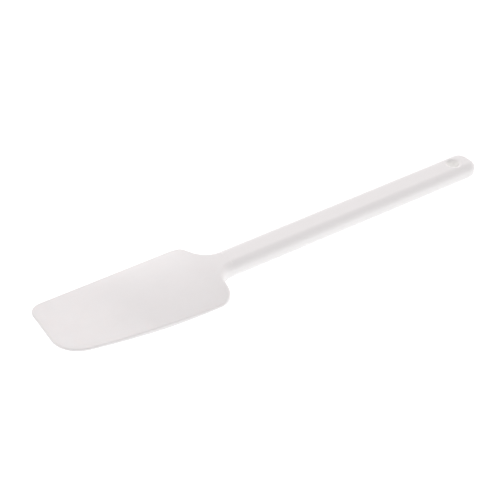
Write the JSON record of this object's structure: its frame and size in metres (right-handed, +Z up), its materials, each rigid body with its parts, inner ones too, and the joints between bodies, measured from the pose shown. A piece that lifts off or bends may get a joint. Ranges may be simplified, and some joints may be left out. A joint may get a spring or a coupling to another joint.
{
  "type": "rubber spatula",
  "caption": "Long-handled kitchen spatula: a soft blade with a straight edge, a bowed edge and rounded shoulders flexes at the end of a stiff handle with a hang hole.",
  "frame": {"origin": "half way along the whole object, on the handle's long axis in plan and on the plane of its flat underside, so within about 1 mm of the middle of the box's bottom", "axes": "+X from the blade's tip to the handle's butt, +Z up through the handle's thickness, +Y towards the blade's straight edge"},
  "size_m": [0.343, 0.0665, 0.0128],
  "materials": {
    "handle_plastic": "satin moulded",
    "blade_rubber": "matt, fine moulded grain"
  },
  "bodies": {
    "grip": {"handle": "handle_plastic", "blade_root": "blade_rubber"},
    "lip": {"blade_lip": "blade_rubber"}
  },
  "joints": [
    {"name": "blade_flex", "type": "hinge", "parent": "grip", "child": "lip", "pos_m": [-0.121, 0, 0.0064], "axis": [0, 1, 0], "range_deg": [-6, 45], "stiffness_Nm_per_rad": 0.1}
  ]
}
